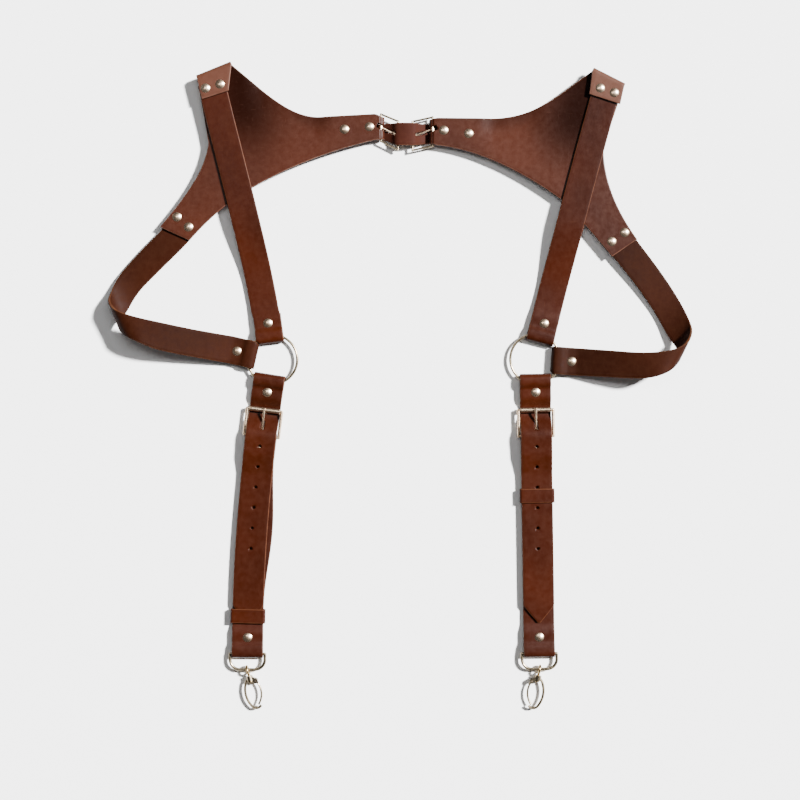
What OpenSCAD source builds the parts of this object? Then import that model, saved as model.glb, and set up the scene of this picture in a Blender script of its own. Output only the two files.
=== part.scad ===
// Leather shoulder breast harness: two yoke panels, a buckled link, shoulder and side straps on O-rings,
// and two adjustable drops that end in swivel snap hooks. It lies flat, outer face up, on z = 0.

/* [Leather] */
// Thickness of all the leather
leather_t = 2.4; // [2:0.1:2.6]
// Width of the shoulder and side straps
strap_w = 27.5; // [24:0.5:28]
// Width of the billets and lower straps
drop_w = 31; // [28:0.5:31]
// Wall of the sliding keepers
keeper_t = 1.4; // [1:0.1:1.5]
// Length of a keeper along the strap
keeper_len = 14; // [10:1:16]
// Diameter of the punched holes
hole_d = 3; // [2.5:0.1:3.5]
// Distance between punched holes
hole_pitch = 20.5; // [18:0.5:21]
// Number of punched holes
hole_count = 7; // [3:1:8]

/* [Rings and buckles] */
// Outer radius of the O-rings
ring_r = 26; // [25:0.5:28]
// Diameter of the O-ring wire
ring_wire = 2.6; // [2:0.1:2.8]
// Diameter of the buckle frame wire and of the D-ring wire
frame_wire = 3; // [2.6:0.1:3]
// Outer diameter of the buckle roller
roller_d = 5; // [4.4:0.1:5.2]
// Depth of the D-ring from its bar to its bow
d_depth = 15.5; // [14:0.5:18]
// Diameter of the small link buckle wire
link_wire = 2.2; // [1.8:0.1:2.4]

/* [Rivets] */
// Diameter of the domed rivet caps
cap_d = 9.2; // [8:0.2:10]
// Height of a cap's dome
cap_h = 1.5; // [1.2:0.1:1.6]
// Diameter of the rivet post
post_d = 3; // [2.5:0.1:3]

/* [Snap hooks] */
// Outer width of the oval hook
hook_w = 19; // [17:0.5:22]
// Outer length of the oval hook
hook_len = 33; // [30:0.5:36]
// Diameter of the hook wire
hook_wire = 2.6; // [2.2:0.1:3]

/* [Hidden] */
SIDES = ["left", "right"];
PAIRED = [
    "yoke", "yoke_rivets", "tab_rivets", "side_rivets", "shoulder_strap", "side_strap", "strap_ring_rivets",
    "link_frame", "link_prong", "o_ring", "billet", "billet_rivet", "buckle_frame", "buckle_roller",
    "buckle_prong", "lower_strap", "lower_rivets", "keeper", "d_ring", "hook_swivel", "hook_body",
    "hook_gate", "hook_gate_pin", "hook_spring"
];
$fn = 48;

LEATHER = [0.43, 0.2, 0.14];
LEATHER_DARK = [0.33, 0.15, 0.1];
NICKEL = [0.78, 0.76, 0.72];
BRASSY = [0.6, 0.54, 0.42];

// Where the laid-out harness sits in its frame
placement = [0.4, -2.8, -0.2];

t = leather_t;
ply_gap = 0.1;
pin_play = 0.08;
frame_r = frame_wire / 2;
ring_wire_r = ring_wire / 2;
link_r = link_wire / 2;
hook_r = hook_wire / 2;
post_r = post_d / 2;
cap_r = cap_d / 2;

// Heights of the middle of each leather layer, measured from the table
z_yoke = 9;
z_shoulder = z_yoke + t + ply_gap;
z_tab = z_shoulder + t + ply_gap;
z_side = z_yoke - t - ply_gap;
z_lower = 3.1;
z_upper = z_lower + t + ply_gap;
z_shoulder_run = 3.6;

// The O-rings: centre, wire radius, and the slack fold that each strap makes round the wire
ring_c = [[-128, 30], [134.5, 30.5]];
ring_mid_r = ring_r - ring_wire_r;
ring_fold_in = ring_wire_r + 1;
z_ring = t + ring_fold_in + 0.3;
ring_fold_d = sqrt(ring_mid_r * ring_mid_r - strap_w * strap_w / 4);
drop_fold_d = sqrt(ring_mid_r * ring_mid_r - drop_w * drop_w / 4);
ring_rivet_d = 36.5;
billet_rivet_d = 33.3;

// ---- curves and ribbons ----

function unit(v) = v / norm(v);
function dir(a) = [cos(a), sin(a)];
function bez(p, u) =
    p[0] * pow(1 - u, 3) + p[1] * 3 * u * pow(1 - u, 2) + p[2] * 3 * u * u * (1 - u) + p[3] * pow(u, 3);
function bez_dir(p, u) =
    unit((p[1] - p[0]) * pow(1 - u, 2) + (p[2] - p[1]) * 2 * u * (1 - u) + (p[3] - p[2]) * u * u);
function bez_line(p, n = 10) = [for (k = [0:n - 1]) bez(p, k / n)];

// A station is the pair of edge points of a strap's middle surface, six numbers in one list
function across(c, along, w, z) =
    let (side = [-along[1], along[0]] * w / 2)
    [c[0] + side[0], c[1] + side[1], z, c[0] - side[0], c[1] - side[1], z];
function edge_a(s) = [s[0], s[1], s[2]];
function edge_b(s) = [s[3], s[4], s[5]];
function catmull(p0, p1, p2, p3, u) =
    (p1 * 2 + (p2 - p0) * u + (p0 * 2 - p1 * 5 + p2 * 4 - p3) * u * u
        + (p1 * 3 - p0 - p2 * 3 + p3) * u * u * u) / 2;
function smooth(s, n) =
    let (last = len(s) - 1)
    concat(
        [for (i = [0:last - 1]) for (k = [0:n - 1])
            catmull(s[max(i - 1, 0)], s[i], s[i + 1], s[min(i + 2, last)], k / n)],
        [s[last]]
    );

// A fold of leather round a wire: distances along the strap and heights, from the upper layer to the lower for
// first = 1, or the other way for first = -1; it bulges towards growing distances for out = 1
function fold_arc(d, z, inner, out = -1, first = 1, steps = 8) =
    let (r = inner + t / 2)
    [for (k = [0:steps]) [d + out * r * sin(180 * k / steps), z + first * r * cos(180 * k / steps)]];

// A closed strap of even thickness through a list of stations
module ribbon(s, thick) {
    n = len(s);
    mid = [for (q = s) (edge_a(q) + edge_b(q)) / 2];
    up = [for (i = [0:n - 1])
        let (run = mid[min(i + 1, n - 1)] - mid[max(i - 1, 0)])
        unit(cross(run, edge_a(s[i]) - edge_b(s[i]))) * thick / 2];
    points = [for (i = [0:n - 1])
        each [edge_a(s[i]) + up[i], edge_b(s[i]) + up[i], edge_b(s[i]) - up[i], edge_a(s[i]) - up[i]]];
    walls = [for (i = [0:n - 2]) for (k = [0:3])
        let (a = 4 * i + k, b = 4 * i + (k + 1) % 4)
        each [[a, a + 4, b], [b, a + 4, b + 4]]];
    ends = [[0, 1, 2], [0, 2, 3], [4 * n - 4, 4 * n - 2, 4 * n - 3], [4 * n - 4, 4 * n - 1, 4 * n - 2]];
    polyhedron(points, concat(walls, ends), convexity = 6);
}

// ---- hardware shapes ----

// A double-cap rivet standing on its axis, gripping leather from z0 to z1
module rivet(x, y, z0, z1) {
    translate([x, y, z0 - cap_h])
        dome(-1);
    translate([x, y, z0 - 0.2])
        cylinder(r = post_r - 0.02, h = z1 - z0 + 0.4);
    translate([x, y, z1])
        dome(1);
}

// A domed cap, its flat face down for way = 1 and up for way = -1
module dome(way) {
    ball = (cap_r * cap_r + cap_h * cap_h) / (2 * cap_h);
    lift = way > 0 ? cap_h - ball : ball;
    intersection() {
        translate([0, 0, lift])
            sphere(r = ball, $fn = 96);
        cylinder(r = cap_r + 1, h = cap_h);
    }
}

module rod(a, b, r) {
    v = b - a;
    turn = norm([v[0], v[1]]) < 0.001 ? 0 : atan2(v[1], v[0]);
    translate(a)
        rotate([0, acos(v[2] / norm(v)), turn])
            cylinder(r = r, h = norm(v));
}

// A closed frame of round wire through a loop of corner points
module wire_loop(corners, r) {
    n = len(corners);
    for (i = [0:n - 1]) {
        rod(corners[i], corners[(i + 1) % n], r);
        translate(corners[i])
            sphere(r = r);
    }
}

module hole(x, y) {
    translate([x, y, -5])
        cylinder(r = post_r, h = 60);
}

// ---- shared outlines, left then right ----

// Yoke panels: the curved edges, going round from the peak
yoke_top = [
    [[-168, 323.5], [-133, 294.5], [-110, 272], [-81, 272]],
    [[191, 317.5], [158, 294], [135, 271], [90, 270.5]]
];
yoke_end = [[[-25, 275], [-19.5, 272.6], [-19.5, 249.5]], [[37, 271], [32, 270.1], [32, 245]]];
yoke_bottom = [
    [[-25, 249], [-60, 241], [-105, 226], [-147, 202]],
    [[37, 243.5], [72, 240], [115, 222], [159.5, 190]]
];
yoke_inner = [
    [[-147, 202], [-172, 187], [-192, 170], [-210.5, 148.5]],
    [[159.5, 190], [176, 174], [195, 152], [211, 132.5]]
];
yoke_outer = [
    [[-240, 161.8], [-222, 184], [-195, 214], [-191.5, 246]],
    [[236.2, 149.8], [220, 172], [202, 205], [202.5, 242]]
];
fold_end = [[-202.5, 309.5], [222.5, 301.5]];
tab_tip = [[[-171, 297], [-197.5, 288.5]], [[187.5, 293.5], [218.5, 283.5]]];
yoke_rivets_at = [[[-56, 259.5], [-31, 262]], [[43, 258.5], [68, 255.3]]];
tab_rivets_at = [[[-194, 299.5], [-179.5, 303.5]], [[198.5, 299.5], [212.5, 295]]];
side_rivets_at = [[[-223, 172], [-211.5, 162]], [[223.5, 156.5], [210.5, 147.5]]];

// Shoulder straps: middle line from the tab to the ring's centre
shoulder_line = [
    [[-188.3, 305], [-166.4, 213.6], [-139.8, 123.3], ring_c[0]],
    [[206.5, 303], [180.7, 212.8], [158, 121.5], ring_c[1]]
];
shoulder_len = 282;

// Side straps: edge pairs from under the yoke tip, round the outer bend, to the lower run.
// The first edge of a pair is the outer one, which becomes the upper edge once the strap has turned over.
side_run = [
    [
        [-219, 183, z_side, -199.5, 165, z_side],
        [-238, 160, z_side - 0.15, -213.5, 146, z_side - 0.15],
        [-260.5, 137.5, 4.8, -241, 118.9, 4.8],
        [-280.5, 114.5, 5, -261, 98.5, 3.4],
        [-288.3, 98.5, 9.5, -272.5, 80, 4.4],
        [-289.3, 88, 18, -280, 64, 10.5],
        [-281.5, 79, 25.5, -273.5, 54.5, 22],
        [-264.5, 72.5, 27, -259.5, 47, 27],
        [-236, 66, 23.5, -241, 39.5, 23.5],
        [-206, 59.8, 16, -212, 33.3, 16]
    ],
    [
        [221, 169.5, z_side, 199, 154, z_side],
        [235.5, 150, z_side - 0.15, 212.5, 133, z_side - 0.15],
        [259.5, 118.5, 4.8, 236.5, 103, 4.8],
        [277, 92, 5, 254.5, 77, 3.4],
        [287, 71.5, 9.5, 266, 56, 4.4],
        [288.8, 58, 18, 278, 35, 10.5],
        [281.5, 45.5, 25.5, 270.5, 22.5, 22],
        [265, 38.5, 27, 258, 14.5, 27],
        [240, 36.5, 23.5, 240, 10.8, 23.5],
        [212, 38.5, 16, 211, 11.8, 16]
    ]
];
side_ring_way = [[0.974, -0.227], [-0.998, 0.069]];

// Drops: middle line of the billet from the ring's centre to the D-ring's bar
drop_line = [
    [ring_c[0], [-144.3, -67.1], [-153, -166], [-153, -264.5]],
    [ring_c[1], [135.8, -68], [137.8, -166], [138.8, -264]]
];
drop_len = 295.5;
roller_at = 51;
heel_at = 77;
hole_first = 67;
flap_rivet_at = 91;
tip_at = 264.5;
keeper_at = [257.5, 137];
d_rivet_at = 279;
d_bar_at = drop_len;
// How far the lower strap strays sideways from under the billet
stray = [5, 0];
stray_from = 95;
stray_to = 247;

// Bars that leather folds round: heights and the fold's inner radius
heel_in = frame_r + pin_play;
z_heel = 5.4;
z_d_bar = z_heel;
link_in = link_r + pin_play;
z_link = z_yoke - link_in - t / 2;
roller_r = roller_d / 2;
z_roller = z_heel;

// Link buckles: heel bar corners, then outer bar corners; and the line of the prong
link_frame_at = [
    [[-19.5, 275], [-19.5, 248], [-2.5, 239.5], [-2.5, 268]],
    [[32, 272], [32, 243.3], [12, 239], [12, 267.6]]
];
link_prong_from = [[-19.5, 262], [32, 260]];
link_prong_to = [[-1, 253], [10.5, 252.5]];
link_prong_r = 0.9;
link_prong_w = 2.6;
link_tip_z = z_link - link_r - link_prong_r - 0.15;
link_slot_at = [[-9.75, 257.3], [19.75, 255.7]];
link_run = [
    [-25.5, 265, 1.64, -25.5, 251.5, 1.64],
    [-19.5, 265.5, 1.64, -19.5, 250.5, 1.64],
    [-15, 266, 2.4, -15, 249, 2.4],
    [-8, 266, 5.6, -8, 246, 5.6],
    [-4.6, 266, 8.6, -4.6, 244, 8.6],
    [-1, 266, 9.6, -1, 243.5, 9.6],
    [4.8, 266, 10, 4.8, 243.5, 10],
    [10.5, 266, 9.6, 10.5, 243.5, 9.6],
    [14, 265.8, 8.6, 14, 243.7, 8.6],
    [18, 265.6, 5.6, 18, 244.5, 5.6],
    [26, 265.4, 2.6, 26, 246, 2.6],
    [32, 265.2, 1.64, 32, 247, 1.64],
    [37, 265, 1.64, 37, 247.5, 1.64]
];

function drop_mid(i, d) = bez(drop_line[i], d / drop_len);
function drop_way(i, d) = bez_dir(drop_line[i], d / drop_len);
function under_mid(i, d) =
    let (way = drop_way(i, d), swell = max(0, min(1, (d - stray_from) / (stray_to - stray_from))))
    drop_mid(i, d) + [-way[1], way[0]] * stray[i] * pow(sin(180 * swell), 2);
function heading(v) = atan2(v[1], v[0]);

module at_drop(i, d) {
    c = drop_mid(i, d);
    translate([c[0], c[1], 0])
        rotate([0, 0, heading(drop_way(i, d))])
            children();
}

// The buckle lies straight along the drop's middle line where the line crosses its heel bar
module at_buckle(i) {
    at_drop(i, heel_at)
        translate([-heel_at, 0, 0])
            children();
}

// ---- yokes ----

module yoke_plate(i) {
    edge = concat(
        bez_line(yoke_top[i]), yoke_end[i], bez_line(yoke_bottom[i]), bez_line(yoke_inner[i]),
        [yoke_inner[i][3]], bez_line(yoke_outer[i]), [yoke_outer[i][3], fold_end[i]]
    );
    translate([0, 0, z_yoke - t / 2])
        linear_extrude(height = t)
            polygon(edge);
}

// The yoke's inner end, folded down round the link buckle's heel bar and back under the panel, cut a little
// short at its top edge and notched for the prong
bar_fold_short = 0.8;
prong_notch = [9.4, 5, 8];

module yoke_bar_fold(i) {
    out = i == 0 ? -1 : 1;
    bar = yoke_end[i][1];
    base = yoke_end[i][2];
    s = concat(
        [[bar[0] + 3 * out, z_yoke]],
        [for (p = fold_arc(0, z_link, link_in)) [bar[0] + out * p[0], p[1]]],
        [[bar[0] + out * 2.5, z_link - link_in - t / 2], [bar[0] + out * 6, z_side],
            [bar[0] + out * 42, z_side]]
    );
    ribbon([for (p = s) [p[0], bar[1] - bar_fold_short, p[1], p[0], base[1], p[1]]], t);
}

// The yoke's upper corner, folded up over the end of the shoulder strap; the bend is a hair thinner
// than the panel and stops just short of its corners
fold_short = 0.9;
fold_thin = 0.02;
fold_root = 0.6;

module yoke_tab(i) {
    a = fold_end[i];
    b = yoke_top[i][0];
    translate([0, 0, z_tab - t / 2])
        linear_extrude(height = t)
            polygon([a, b, tab_tip[i][0], tab_tip[i][1]]);
    inner = z_shoulder - z_yoke - t / 2 + fold_thin;
    outer = inner + t - 2 * fold_thin;
    out = i == 0 ? 1 : -1;
    root = -fold_root * out;
    arc = [for (k = [0:10]) [out * cos(18 * k - 90), sin(18 * k - 90)]];
    section = concat(
        [[root, -outer]], outer * arc, [[root, outer], [root, inner]],
        [for (k = [10:-1:0]) inner * arc[k]], [[root, -inner]]
    );
    translate([a[0], a[1], z_shoulder])
        rotate([0, 0, heading(b - a)])
            translate([fold_short, 0, 0])
                rotate([90, 0, 90])
                    linear_extrude(height = norm(b - a) - 2 * fold_short)
                        polygon(section);
}

module yoke(i) {
    color(LEATHER)
        difference() {
            union() {
                yoke_plate(i);
                yoke_bar_fold(i);
                yoke_tab(i);
            }
            translate([yoke_end[i][1][0], link_prong_from[i][1], z_link])
                rotate([0, 0, heading(link_prong_to[i] - link_prong_from[i])])
                    cube(prong_notch, center = true);
            for (p = concat(yoke_rivets_at[i], tab_rivets_at[i], side_rivets_at[i]))
                hole(p[0], p[1]);
        }
}

module yoke_rivets(i) {
    color(NICKEL)
        for (p = yoke_rivets_at[i])
            rivet(p[0], p[1], z_side - t / 2, z_yoke + t / 2);
}

module tab_rivets(i) {
    color(NICKEL)
        for (p = tab_rivets_at[i])
            rivet(p[0], p[1], z_yoke - t / 2, z_tab + t / 2);
}

module side_rivets(i) {
    color(NICKEL)
        for (p = side_rivets_at[i])
            rivet(p[0], p[1], z_side - t / 2, z_yoke + t / 2);
}

// ---- link ----

link_slot = [10.1, 3.4, 20];

module link_strap() {
    color(LEATHER)
        difference() {
            ribbon(link_run, t);
            for (i = [0, 1])
                translate([link_slot_at[i][0], link_slot_at[i][1], 6])
                    rotate([0, 0, heading(link_prong_to[i] - link_prong_from[i])])
                        cube(link_slot, center = true);
        }
}

module link_frame(i) {
    color(NICKEL)
        for (k = [0:3]) {
            from = link_frame_at[i][k];
            to = link_frame_at[i][(k + 1) % 4];
            rod([from[0], from[1], z_link], [to[0], to[1], z_link], k % 2 == 0 ? link_r : link_r - 0.1);
            translate([from[0], from[1], z_link])
                sphere(r = link_r + 0.12);
        }
}

module link_prong(i) {
    from = [link_prong_from[i][0], link_prong_from[i][1], z_link];
    to = [link_prong_to[i][0], link_prong_to[i][1], link_tip_z];
    color(NICKEL)
        difference() {
            union() {
                translate(from)
                    rotate([90, 0, 0])
                        cylinder(r = link_r + 1.1, h = link_prong_w, center = true);
                rod(from, to, link_prong_r);
            }
            translate(from)
                rotate([90, 0, 0])
                    cylinder(r = link_r + 0.06, h = 10, center = true);
        }
}

// ---- shoulder and side straps with their rings ----

function ring_end(i, way, w, fold_d, far) =
    [for (p = concat(
        [[ring_rivet_d + 5, z_upper], [ring_rivet_d - 5, z_upper], [27, z_ring + ring_fold_in + t / 2 - 0.2]],
        fold_arc(fold_d, z_ring, ring_fold_in),
        [[27, z_ring - ring_fold_in - t / 2], [ring_rivet_d - 5, z_lower], [far, z_lower]]
    ))
        across(ring_c[i] - way * p[0], way, w, p[1])];

// Angles round the ring, seen from its centre, where neighbouring straps are trimmed clear of each other
neighbour_a = [132, 35.8];
side_low_a = [212, -40];
trim_gap = 0.2;
trim_size = [60, 40, 60];

// Everything past a line from the ring's centre at angle a: on its left for side = 1, its right for side = -1
module past_line(i, a, side) {
    translate([ring_c[i][0], ring_c[i][1], -5])
        rotate([0, 0, a])
            translate([0, side > 0 ? -trim_gap : trim_gap - trim_size[1], 0])
                cube(trim_size);
}

// Each shoulder strap sinks smoothly to its lower run once it is clear of its yoke, left then right
sink_from = [126, 139];
sink_to = [206, 215];
function shoulder_z(i, d) =
    let (u = max(0, min(1, (d - sink_from[i]) / (sink_to[i] - sink_from[i]))))
    z_shoulder + (z_shoulder_run - z_shoulder) * u * u * (3 - 2 * u);

module shoulder_strap(i) {
    heights = concat([for (d = [0:8:224]) [d, shoulder_z(i, d)]], [[232, 4.1]]);
    run = [for (p = heights)
        across(bez(shoulder_line[i], p[0] / shoulder_len), bez_dir(shoulder_line[i], p[0] / shoulder_len),
            strap_w, p[1])];
    way = bez_dir(shoulder_line[i], 1);
    color(LEATHER)
        difference() {
            ribbon(concat(run, ring_end(i, way, strap_w, ring_fold_d, ring_rivet_d + 9)), t);
            for (p = concat(tab_rivets_at[i], [ring_c[i] - way * ring_rivet_d]))
                hole(p[0], p[1]);
            past_line(i, neighbour_a[i], i == 0 ? 1 : -1);
        }
}

module side_strap(i) {
    w = i == 0 ? strap_w : -strap_w;
    color(LEATHER)
        difference() {
            ribbon(concat(smooth(side_run[i], 4), ring_end(i, side_ring_way[i], w, ring_fold_d,
                ring_rivet_d + 9)), t);
            for (p = concat(side_rivets_at[i], [ring_c[i] - side_ring_way[i] * ring_rivet_d]))
                hole(p[0], p[1]);
            past_line(i, neighbour_a[i], i == 0 ? -1 : 1);
            past_line(i, side_low_a[i], i == 0 ? 1 : -1);
        }
}

module strap_ring_rivets(i) {
    color(NICKEL)
        for (way = [bez_dir(shoulder_line[i], 1), side_ring_way[i]]) {
            p = ring_c[i] - way * ring_rivet_d;
            rivet(p[0], p[1], z_lower - t / 2, z_upper + t / 2);
        }
}

module o_ring(i) {
    color(NICKEL)
        translate([ring_c[i][0], ring_c[i][1], z_ring])
            rotate_extrude($fn = 96)
                translate([ring_mid_r, 0])
                    circle(r = ring_wire_r);
}

// ---- drops ----

// A billet or lower strap: stations from a profile of distances and heights along a middle line
function drop_band(i, profile, w, under = false) =
    [for (p = profile)
        across(under ? under_mid(i, p[0]) : drop_mid(i, p[0]), drop_way(i, p[0]), w, p[1])];

billet_profile = concat(
    [[40, z_lower], [billet_rivet_d - 4.7, z_lower], [24.6, z_ring - ring_fold_in - t / 2]],
    fold_arc(drop_fold_d, z_ring, ring_fold_in, first = -1),
    [[24.8, z_ring + ring_fold_in + t / 2 - 0.2], [billet_rivet_d - 4.7, z_upper], [38.2, z_upper],
        [42.2, 4.4], [46.5, 1.9], [51, 1.5], [56, 1.7], [60, 3.3], [66.5, 7.2], [71, 9.6], [75, 10.9],
        [79, 11], [88, 10.2], [96, 10], [104, 8], [114, 5.9], [122, z_upper], [145, z_upper],
        [170, z_upper], [195, z_upper], [220, z_upper], [247, z_upper]]
);

// The pointed tip is a hair thinner than the strap it ends
tip_step = 0.03;

module billet(i) {
    tip = drop_mid(i, 247);
    point = [[-1, 1 - drop_w / 2], [-1, drop_w / 2 - 1], [0.2, drop_w / 2 - 0.1], [7, 10], [13, 5],
        [tip_at - 247, 1.5], [tip_at - 247, -1.5], [13, -5], [7, -10], [0.2, 0.1 - drop_w / 2]];
    color(LEATHER)
        difference() {
            union() {
                ribbon(drop_band(i, billet_profile, drop_w), t);
                translate([tip[0], tip[1], z_upper - t / 2 + tip_step])
                    rotate([0, 0, heading(drop_way(i, 247))])
                        linear_extrude(height = t - 2 * tip_step)
                            polygon(point);
            }
            for (k = [0:hole_count - 1])
                at_drop(i, hole_first + k * hole_pitch)
                    if (k == 0)
                        translate([-0.8, 0, 7])
                            cube([9, hole_d + 0.4, 14], center = true);
                    else
                        cylinder(r = hole_d / 2, h = 20);
            at_drop(i, billet_rivet_d)
                cylinder(r = post_r, h = 20);
        }
}

module billet_rivet(i) {
    p = drop_mid(i, billet_rivet_d);
    color(NICKEL)
        rivet(p[0], p[1], z_lower - t / 2, z_upper + t / 2);
}

lower_profile = concat(
    [[100, z_lower], [85.6, z_lower], [82.4, z_heel - heel_in - t / 2]],
    fold_arc(heel_at, z_heel, heel_in, first = -1),
    [[82.2, z_heel + heel_in + t / 2 - 0.1], [85.6, z_upper], [97, z_upper],
        [106, 4.4], [114, z_lower], [135, z_lower], [160, z_lower], [185, z_lower], [210, z_lower], [235, z_lower],
        [258, z_lower], [266, z_lower + 0.2], [273.6, z_upper], [284.4, z_upper], [288, 7.6]],
    fold_arc(d_bar_at, z_d_bar, heel_in, out = 1),
    [[288, z_d_bar - heel_in - t / 2], [284.4, z_lower], [270.5, z_lower]]
);

module lower_strap(i) {
    color(LEATHER_DARK)
        difference() {
            ribbon(drop_band(i, lower_profile, drop_w, true), t);
            at_drop(i, heel_at)
                translate([-1.5, 0, 8])
                    cube([12, 4.4, 20], center = true);
            for (d = [flap_rivet_at, d_rivet_at])
                at_drop(i, d)
                    cylinder(r = post_r, h = 20);
        }
}

module lower_rivets(i) {
    color(NICKEL)
        for (d = [flap_rivet_at, d_rivet_at]) {
            p = drop_mid(i, d);
            rivet(p[0], p[1], z_lower - t / 2, z_upper + t / 2);
        }
}

frame_half = drop_w / 2 + 0.35 + frame_r;

// The roller buckle's frame: a rounded wire rectangle, thinner where the roller turns on it
module buckle_frame(i) {
    color(NICKEL)
        at_buckle(i)
            wire_loop([
                [roller_at, -frame_half, z_heel], [roller_at, frame_half, z_heel],
                [heel_at, frame_half, z_heel], [heel_at, -frame_half, z_heel]
            ], frame_r);
}

module buckle_roller(i) {
    color(NICKEL)
        at_buckle(i)
            translate([roller_at, 0, z_roller])
                rotate([90, 0, 0])
                    difference() {
                        cylinder(r = roller_r, h = drop_w - 0.4, center = true);
                        cylinder(r = frame_r + 0.06, h = drop_w + 4, center = true);
                    }
}

prong_r = 1.1;
prong_w = 3.2;

module buckle_prong(i) {
    color(NICKEL)
        at_buckle(i)
            difference() {
                union() {
                    translate([heel_at, 0, z_heel])
                        rotate([90, 0, 0])
                            cylinder(r = frame_r + 1.2, h = prong_w, center = true);
                    rod([heel_at, 0, z_heel], [roller_at - 2, 0, z_roller + roller_r + prong_r + 0.3], prong_r);
                }
                translate([heel_at, 0, z_heel])
                    rotate([90, 0, 0])
                        cylinder(r = frame_r + 0.06, h = 12, center = true);
            }
}

keeper_in = drop_w / 2 + 0.45;
keeper_z0 = z_lower - t / 2 - 0.3;
keeper_z1 = z_upper + t / 2 + 0.4;

// A flat loop of leather round both straps
module keeper(i) {
    color(LEATHER)
        at_drop(i, keeper_at[i])
            rotate([90, 0, 90])
                linear_extrude(height = keeper_len, center = true)
                    difference() {
                        translate([-keeper_in - keeper_t, keeper_z0 - keeper_t])
                            square([2 * (keeper_in + keeper_t), keeper_z1 - keeper_z0 + 2 * keeper_t]);
                        translate([-keeper_in, keeper_z0])
                            square([2 * keeper_in, keeper_z1 - keeper_z0]);
                    }
}

d_half = frame_half;
d_corner = 10;

module d_ring(i) {
    color(NICKEL)
        at_drop(i, d_bar_at)
            translate([0, 0, z_d_bar]) {
                rod([0, -d_half, 0], [0, d_half, 0], frame_r);
                rod([d_depth, d_corner - d_half, 0], [d_depth, d_half - d_corner, 0], frame_r);
                for (s = [-1, 1]) {
                    translate([0, s * d_half, 0])
                        sphere(r = frame_r);
                    rod([0, s * d_half, 0], [d_depth - d_corner, s * d_half, 0], frame_r);
                    translate([d_depth - d_corner, s * (d_half - d_corner), 0])
                        rotate([0, 0, s > 0 ? 0 : -90])
                            rotate_extrude(angle = 90)
                                translate([d_corner, 0])
                                    circle(r = frame_r);
                }
            }
}

// ---- snap hooks: x runs down the hook from the D-ring's wire ----

hook_lean = [15, -11];
spring_coil_r = 1.3;
spring_wire_r = 0.2;
spring_turns = 2;
spring_steps = 16;
eye_mid_r = 4;
eye_wire_r = 1.2;
eye_x = 0.6;
stem_r = 1.3;
collar_r = 3.3;
collar_x = 6.5;
collar_len = 4.9;
stem_end = collar_x + collar_len + 1.4;
oval_top = collar_x + 2.8;
oval_a = hook_w / 2 - hook_r;
oval_b = hook_len / 2 - hook_r;
oval_c = oval_top + oval_b;
end_r = 5.5;
end_x = oval_b - end_r;
side_r = (oval_a * oval_a + end_x * end_x - end_r * end_r) / (2 * (oval_a - end_r));
turn_a = atan2(end_x, side_r - oval_a);
pin_end_a = 35;
nose_a = 48;
gate_r = 1;
gate_pin_r = 0.8;
pin_side = 3;
pin_x = oval_c - side_r * sin(turn_a - pin_side);
pin_y = side_r * cos(turn_a - pin_side) - (side_r - oval_a);
lug_z = 1.6;
lug_t = 0.9;
knuckle_h = 1.6;
// The gate's tip rests just inside the nose
gate_tip_in = 2.9;
gate_tip_a = -40;
gate_tip = [oval_c + end_x, 0] + gate_tip_in * dir(gate_tip_a);
gate_sag = 4;
gate_chord = gate_tip - [pin_x, -pin_y];
gate_arc_r = (gate_chord * gate_chord / 4 + gate_sag * gate_sag) / (2 * gate_sag);
gate_half_a = asin(norm(gate_chord) / 2 / gate_arc_r);

module at_hook(i) {
    at_drop(i, d_bar_at)
        translate([d_depth, 0, z_d_bar])
            rotate([0, 0, hook_lean[i]])
                mirror([0, i == 0 ? 1 : 0, 0])
                    children();
}

// Part of the oval's wire: an arc of radius r about x, y, from angle a0 over a span
module wire_arc(x, y, r, a0, span, wire) {
    translate([x, y, 0])
        rotate([0, 0, a0])
            rotate_extrude(angle = span)
                translate([r, 0])
                    circle(r = wire);
}

module hook_swivel(i) {
    color(BRASSY)
        at_hook(i) {
            translate([eye_x, 0, 0])
                rotate([90, 0, 0])
                    rotate_extrude()
                        translate([eye_mid_r, 0])
                            circle(r = eye_wire_r);
            rod([eye_x + eye_mid_r, 0, 0], [stem_end, 0, 0], stem_r);
            rod([collar_x + collar_len + 0.2, 0, 0], [stem_end, 0, 0], stem_r + 0.8);
        }
}

// The oval's middle line: top arc from near the gate's pin, the solid side, and the bottom arc to the nose
function arc_points(x, y, r, a0, a1, n) = [for (k = [0:n]) [x, y] + r * dir(a0 + (a1 - a0) * k / n)];
oval_line = concat(
    arc_points(oval_c - end_x, 0, end_r, 180 + pin_end_a, 90 + turn_a + 6, 8),
    arc_points(oval_c, oval_a - side_r, side_r, 90 + turn_a, 90 - turn_a, 12),
    arc_points(oval_c + end_x, 0, end_r, 90 - turn_a - 6, -nose_a, 8)
);

// A round tube along a flat path
module flat_tube(path, r, sides = 12) {
    n = len(path);
    points = [for (k = [0:n - 1])
        let (v = unit(path[min(k + 1, n - 1)] - path[max(k - 1, 0)]))
        for (j = [0:sides - 1])
            let (b = 360 * j / sides)
            [path[k][0] - v[1] * r * cos(b), path[k][1] + v[0] * r * cos(b), r * sin(b)]];
    walls = [for (k = [0:n - 2]) for (j = [0:sides - 1])
        let (p = sides * k + j, q = sides * k + (j + 1) % sides)
        each [[p, p + sides, q], [q, p + sides, q + sides]]];
    polyhedron(points, concat(walls, [[for (j = [0:sides - 1]) j],
        [for (j = [sides - 1:-1:0]) sides * (n - 1) + j]]));
}

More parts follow.
